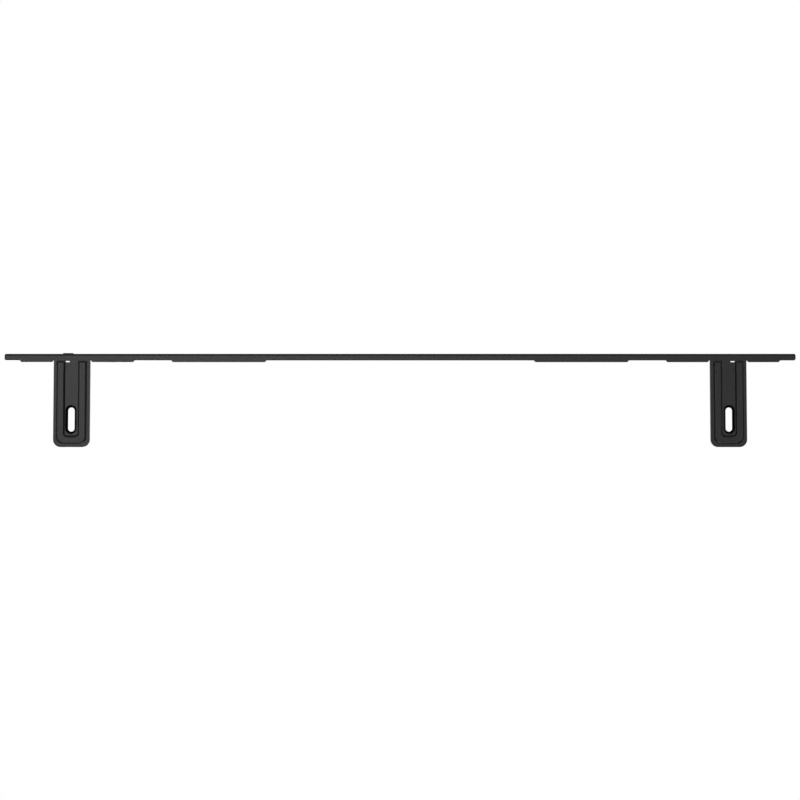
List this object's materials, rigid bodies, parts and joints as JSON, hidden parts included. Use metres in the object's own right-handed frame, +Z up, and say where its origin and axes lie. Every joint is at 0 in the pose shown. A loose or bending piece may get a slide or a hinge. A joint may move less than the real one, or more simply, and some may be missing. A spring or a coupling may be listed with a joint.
{
  "type": "speaker wall bracket",
  "caption": "Folded steel wall bracket: a long wall plate with screw slots and a bottom flange whose ribbed arms carry a bar speaker on countersunk slots.",
  "frame": {"origin": "centre of the wall screw pattern on the wall face", "axes": "+X along the bar, +Y into the wall, +Z up"},
  "size_m": [0.7912, 0.0942, 0.0522],
  "materials": {
    "powder_coat": "satin black powder coat",
    "pad_rubber": "matte"
  },
  "bodies": {
    "root": {"bracket": "powder_coat", "wall_pad": "pad_rubber"}
  },
  "joints": []
}
